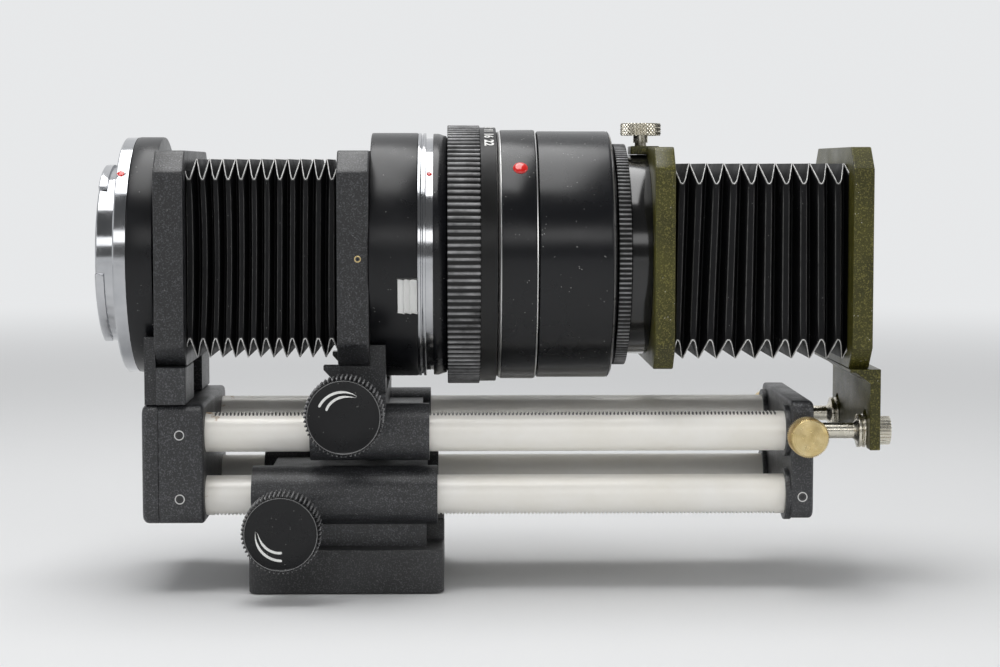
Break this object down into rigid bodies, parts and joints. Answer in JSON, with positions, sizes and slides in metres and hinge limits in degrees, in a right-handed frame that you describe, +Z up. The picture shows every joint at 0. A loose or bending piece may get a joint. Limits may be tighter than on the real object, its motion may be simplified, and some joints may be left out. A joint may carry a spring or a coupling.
{
  "type": "macro focusing bellows with slide copier",
  "caption": "Macro bellows on twin pairs of rails: a turning camera ring, a rear bellows, a lens with a ridged aperture ring, and a front bellows to a slide holder on rods.",
  "frame": {"origin": "centre of the mouth of the tripod thread, in the foot's flat underside", "axes": "+X along the lens axis from the camera ring to the slide holder, +Y away from the focusing knobs, +Z up"},
  "size_m": [0.1994, 0.0846, 0.1176],
  "materials": {
    "foot_paint": "satin",
    "crinkle_alloy": "satin",
    "olive_alloy": "satin",
    "lens_alloy": "satin",
    "rail_steel": "satin",
    "bright_chrome": "polished",
    "screw_steel": "satin",
    "brass": "satin",
    "nickel_brass": "satin",
    "knob_plastic": "satin",
    "bellows_cloth": "matte",
    "index_red": "gloss",
    "glass": "polished",
    "opal": "satin"
  },
  "bodies": {
    "base": {"tripod_foot": "foot_paint", "foot_screws": "screw_steel", "lower_carriage": "crinkle_alloy"},
    "rail_frame": {"lower_near_rail": "rail_steel", "lower_far_rail": "rail_steel", "upper_near_rail": "rail_steel", "upper_far_rail": "rail_steel", "rear_block": "crinkle_alloy", "block_cover": "crinkle_alloy", "rail_set_screws": "screw_steel", "rear_column": "crinkle_alloy", "ring_guard": "crinkle_alloy", "rear_frame": "crinkle_alloy", "end_plate": "crinkle_alloy", "rear_bellows": "bellows_cloth"},
    "camera_ring": {"camera_ring": "lens_alloy", "ring_retainer": "lens_alloy", "camera_flange": "bright_chrome", "camera_bayonet": "bright_chrome", "flange_screws": "screw_steel", "flange_index_dot": "index_red"},
    "lens_standard": {"upper_carriage": "crinkle_alloy", "lens_column": "crinkle_alloy", "lens_frame": "crinkle_alloy", "frame_screws": "screw_steel", "mount_tube": "lens_alloy", "mount_flange": "bright_chrome", "lens_tail": "bright_chrome", "tail_index_dot": "index_red", "lens_core": "lens_alloy", "index_ring": "lens_alloy", "lens_index_dot": "index_red", "front_barrel": "lens_alloy", "front_glass": "glass", "rear_glass": "glass", "iris_blades": "lens_alloy", "adapter_ring": "lens_alloy", "copier_neck": "lens_alloy", "copier_rear_frame": "olive_alloy", "front_bellows": "bellows_cloth"},
    "aperture_ring": {"aperture_ring": "lens_alloy"},
    "release_catch": {"release_catch": "bright_chrome"},
    "copier_stage": {"stage_frame": "olive_alloy", "slide_springs": "screw_steel", "opal_diffuser": "opal", "stage_bracket": "olive_alloy", "copier_rods": "bright_chrome", "rod_nuts": "bright_chrome"},
    "lower_knob": {"lower_pinion": "rail_steel", "lower_focus_knob": "knob_plastic"},
    "upper_knob": {"upper_pinion": "rail_steel", "upper_focus_knob": "knob_plastic"},
    "lower_lock": {"lower_lock_knob": "knob_plastic"},
    "upper_lock": {"upper_lock_knob": "knob_plastic"},
    "copier_clamp": {"copier_clamp_screw": "nickel_brass"},
    "near_rod_clamp": {"near_rod_screw": "brass"},
    "far_rod_clamp": {"far_rod_screw": "brass"}
  },
  "joints": [
    {"name": "rail_slide", "type": "slide", "parent": "base", "child": "rail_frame", "axis": [1, 0, 0], "range_m": [-0.087, 0.011]},
    {"name": "camera_ring_turn", "type": "hinge", "parent": "rail_frame", "child": "camera_ring", "pos_m": [-0.0505, 0, 0.0837], "axis": [1, 0, 0], "range_deg": [0, 90]},
    {"name": "lens_slide", "type": "slide", "parent": "rail_frame", "child": "lens_standard", "axis": [1, 0, 0], "range_m": [-0.022, 0.02], "deforming": ["rear_bellows", "front_bellows"]},
    {"name": "aperture_ring_turn", "type": "hinge", "parent": "lens_standard", "child": "aperture_ring", "pos_m": [0.0316, 0, 0.0837], "axis": [1, 0, 0], "range_deg": [0, 75]},
    {"name": "release_catch_slide", "type": "slide", "parent": "lens_standard", "child": "release_catch", "axis": [1, 0, 0], "range_m": [-0.002, 0], "stiffness_N_per_m": 400, "springref_m": 0.0005},
    {"name": "copier_slide", "type": "slide", "parent": "rail_frame", "child": "copier_stage", "axis": [1, 0, 0], "range_m": [-0.011, 0.025], "deforming": ["front_bellows"]},
    {"name": "lower_knob_turn", "type": "hinge", "parent": "base", "child": "lower_knob", "pos_m": [-0.015, -0.04, 0.0177], "axis": [0, 1, 0], "range_deg": [-3324, 421]},
    {"name": "upper_knob_turn", "type": "hinge", "parent": "lens_standard", "child": "upper_knob", "pos_m": [0.0003, -0.04, 0.0461], "axis": [0, 1, 0], "range_deg": [-841, 765]},
    {"name": "lower_lock_turn", "type": "hinge", "parent": "base", "child": "lower_lock", "pos_m": [0, 0.036, 0.0239], "axis": [0, 1, 0], "range_deg": [-90, 0]},
    {"name": "upper_lock_turn", "type": "hinge", "parent": "lens_standard", "child": "upper_lock", "pos_m": [0.006, 0.036, 0.0399], "axis": [0, 1, 0], "range_deg": [-90, 0]},
    {"name": "copier_clamp_turn", "type": "hinge", "parent": "lens_standard", "child": "copier_clamp", "pos_m": [0.0754, 0, 0.116], "axis": [0, 0, 1], "range_deg": [0, 180]},
    {"name": "near_rod_clamp_turn", "type": "hinge", "parent": "rail_frame", "child": "near_rod_clamp", "pos_m": [0.1142, -0.035, 0.0399], "axis": [0, 1, 0], "range_deg": [0, 180]},
    {"name": "far_rod_clamp_turn", "type": "hinge", "parent": "rail_frame", "child": "far_rod_clamp", "pos_m": [0.1142, 0.035, 0.0399], "axis": [0, 1, 0], "range_deg": [-180, 0]}
  ],
  "couplings": [
    {"joint": "lower_knob_turn", "follows": "rail_slide", "rad_per_m": 666.67},
    {"joint": "upper_knob_turn", "follows": "lens_slide", "rad_per_m": 666.67}
  ]
}
